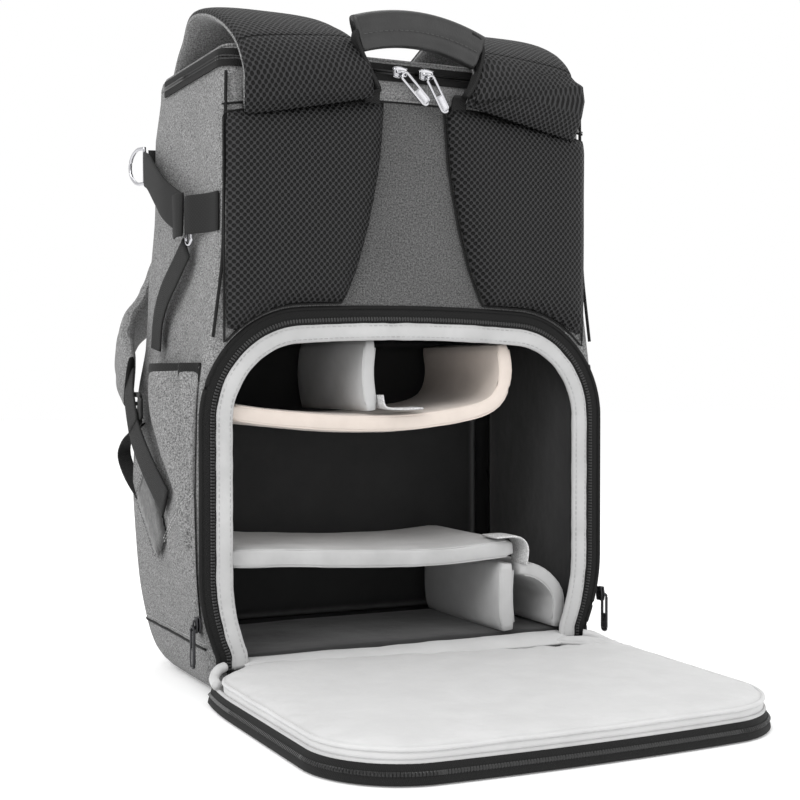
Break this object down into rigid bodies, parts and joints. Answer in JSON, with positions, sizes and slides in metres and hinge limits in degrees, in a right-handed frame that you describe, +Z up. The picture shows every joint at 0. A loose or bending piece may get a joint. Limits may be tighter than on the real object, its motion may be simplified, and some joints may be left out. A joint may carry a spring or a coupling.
{
  "type": "camera backpack",
  "caption": "Upright camera backpack with its back access flap open on the floor, padded dividers, folded shoulder straps, grip handle and side straps.",
  "frame": {"origin": "middle of the bag on the flat underside of its base", "axes": "+Z up; the back panel, straps' roots and open flap face -Y, which is the wearer's side; +X to the right as seen from the flap"},
  "size_m": [0.352, 0.4709, 0.489],
  "materials": {
    "grey_canvas": "heathered woven canvas",
    "pale_lining": "brushed pale grey nylon over foam",
    "beige_lining": "brushed beige nylon over foam",
    "black_air_mesh": "black spacer mesh with round holes",
    "black_webbing": "ribbed black webbing and zip tape",
    "black_leather": "black leather, stitched",
    "polished_steel": "polished",
    "black_plastic": "moulded"
  },
  "bodies": {
    "bag": {"back_pad_left": "black_air_mesh", "back_pad_right": "black_air_mesh", "back_panel": "grey_canvas", "base_panel": "grey_canvas", "bottle_pocket_left": "grey_canvas", "bottle_pocket_right": "grey_canvas", "front_panel": "grey_canvas", "front_pocket": "grey_canvas", "front_zip_track": "black_webbing", "left_side_panel": "grey_canvas", "lining_ceiling": "pale_lining", "lining_floor": "pale_lining", "lining_front_wall": "pale_lining", "lining_left_wall": "pale_lining", "lining_right_wall": "pale_lining", "mouth_lip": "pale_lining", "mouth_zip_track": "black_webbing", "right_side_panel": "grey_canvas", "side_anchor_left": "black_webbing", "side_anchor_right": "black_webbing", "side_dring_loop_left": "black_webbing", "side_dring_loop_right": "black_webbing", "side_strap_left": "black_leather", "side_strap_right": "black_leather", "side_tail_left": "black_webbing", "side_tail_right": "black_webbing", "strap_patch_left": "black_leather", "strap_patch_right": "black_leather", "strap_webbing_left": "black_webbing", "strap_webbing_right": "black_webbing", "top_zip_track": "black_webbing"},
    "flap": {"flap_cover": "grey_canvas", "flap_cushion": "pale_lining", "flap_zip_track": "black_webbing"},
    "lid": {"top_lid": "grey_canvas", "lid_zip_track": "black_webbing"},
    "handle": {"handle_grip": "black_leather", "handle_webbing": "black_webbing"},
    "strap_left": {"shoulder_strap_left": "black_air_mesh", "strap_adjuster_left": "black_plastic"},
    "top_slider_left": {"top_slider_left": "polished_steel"},
    "top_pull_left": {"top_pull_left": "polished_steel"},
    "flap_slider_left": {"flap_slider_left": "polished_steel"},
    "flap_pull_left": {"flap_pull_left": "polished_steel"},
    "side_dring_left": {"side_dring_left": "polished_steel"},
    "side_ring_left": {"side_ring_left": "polished_steel"},
    "strap_right": {"shoulder_strap_right": "black_air_mesh", "strap_adjuster_right": "black_plastic"},
    "top_slider_right": {"top_slider_right": "polished_steel"},
    "top_pull_right": {"top_pull_right": "polished_steel"},
    "flap_slider_right": {"flap_slider_right": "polished_steel"},
    "flap_pull_right": {"flap_pull_right": "polished_steel"},
    "side_dring_right": {"side_dring_right": "polished_steel"},
    "side_ring_right": {"side_ring_right": "polished_steel"},
    "upper_shelf": {"upper_shelf": "beige_lining"},
    "upper_upright": {"upper_upright": "pale_lining"},
    "lower_shelf": {"lower_shelf": "pale_lining"},
    "lower_upright": {"lower_upright": "pale_lining"},
    "corner_divider": {"corner_divider": "pale_lining"}
  },
  "joints": [
    {"name": "flap_hinge", "type": "hinge", "parent": "bag", "child": "flap", "pos_m": [0, -0.0845, 0.03], "axis": [-1, 0, 0], "range_deg": [0, 90]},
    {"name": "lid_hinge", "type": "hinge", "parent": "bag", "child": "lid", "pos_m": [0, 0.0782, 0.43], "axis": [-1, 0, 0], "range_deg": [0, 20]},
    {"name": "handle_swing", "type": "hinge", "parent": "bag", "child": "handle", "pos_m": [0, -0.094, 0.422], "axis": [1, 0, 0], "range_deg": [0, 40], "stiffness_Nm_per_rad": 0.15},
    {"name": "strap_left_lift", "type": "hinge", "parent": "bag", "child": "strap_left", "pos_m": [0, -0.096, 0.417], "axis": [1, 0, 0], "range_deg": [0, 45]},
    {"name": "top_slider_left_slide", "type": "slide", "parent": "bag", "child": "top_slider_left", "axis": [1, 0, 0], "range_m": [-0.1, 0]},
    {"name": "top_pull_left_swing", "type": "hinge", "parent": "top_slider_left", "child": "top_pull_left", "pos_m": [-0.013, -0.0878, 0.428], "axis": [-0.7071, 0, -0.7071], "range_deg": [0, 80]},
    {"name": "flap_slider_left_slide", "type": "slide", "parent": "bag", "child": "flap_slider_left", "axis": [0, 0, 1], "range_m": [0, 0.11]},
    {"name": "flap_pull_left_swing", "type": "hinge", "parent": "flap_slider_left", "child": "flap_pull_left", "pos_m": [-0.1654, -0.078, 0.053], "axis": [0, 1, 0], "range_deg": [0, 110]},
    {"name": "side_dring_left_swing", "type": "hinge", "parent": "bag", "child": "side_dring_left", "pos_m": [-0.152, 0.082, 0.383], "axis": [0, 0, 1], "range_deg": [-30, 40]},
    {"name": "side_ring_left_swing", "type": "hinge", "parent": "bag", "child": "side_ring_left", "pos_m": [-0.153, -0.039, 0.331], "axis": [0, 0, 1], "range_deg": [0, 60]},
    {"name": "strap_right_lift", "type": "hinge", "parent": "bag", "child": "strap_right", "pos_m": [0, -0.096, 0.417], "axis": [1, 0, 0], "range_deg": [0, 45]},
    {"name": "top_slider_right_slide", "type": "slide", "parent": "bag", "child": "top_slider_right", "axis": [-1, 0, 0], "range_m": [-0.1, 0]},
    {"name": "top_pull_right_swing", "type": "hinge", "parent": "top_slider_right", "child": "top_pull_right", "pos_m": [0.008, -0.0878, 0.428], "axis": [-0.9272, 0, -0.3746], "range_deg": [0, 80]},
    {"name": "flap_slider_right_slide", "type": "slide", "parent": "bag", "child": "flap_slider_right", "axis": [0, 0, 1], "range_m": [0, 0.11]},
    {"name": "flap_pull_right_swing", "type": "hinge", "parent": "flap_slider_right", "child": "flap_pull_right", "pos_m": [0.1654, -0.078, 0.053], "axis": [0, -1, 0], "range_deg": [0, 110]},
    {"name": "side_dring_right_swing", "type": "hinge", "parent": "bag", "child": "side_dring_right", "pos_m": [0.152, 0.082, 0.383], "axis": [0, 0, -1], "range_deg": [-30, 40]},
    {"name": "side_ring_right_swing", "type": "hinge", "parent": "bag", "child": "side_ring_right", "pos_m": [0.153, -0.039, 0.331], "axis": [0, 0, -1], "range_deg": [0, 60]},
    {"name": "upper_shelf_slide", "type": "slide", "parent": "bag", "child": "upper_shelf", "axis": [0, 1, 0], "range_m": [-0.16, 0]},
    {"name": "upper_upright_slide", "type": "slide", "parent": "bag", "child": "upper_upright", "axis": [0, 1, 0], "range_m": [-0.16, 0]},
    {"name": "lower_shelf_slide", "type": "slide", "parent": "bag", "child": "lower_shelf", "axis": [0, 1, 0], "range_m": [-0.16, 0]},
    {"name": "lower_upright_slide", "type": "slide", "parent": "bag", "child": "lower_upright", "axis": [0, 1, 0], "range_m": [-0.16, 0]},
    {"name": "corner_divider_slide", "type": "slide", "parent": "bag", "child": "corner_divider", "axis": [0, 1, 0], "range_m": [-0.16, 0]}
  ],
  "couplings": [
    {"joint": "strap_left_lift", "follows": "lid_hinge", "ratio": 2.2},
    {"joint": "strap_right_lift", "follows": "lid_hinge", "ratio": 2.2}
  ]
}
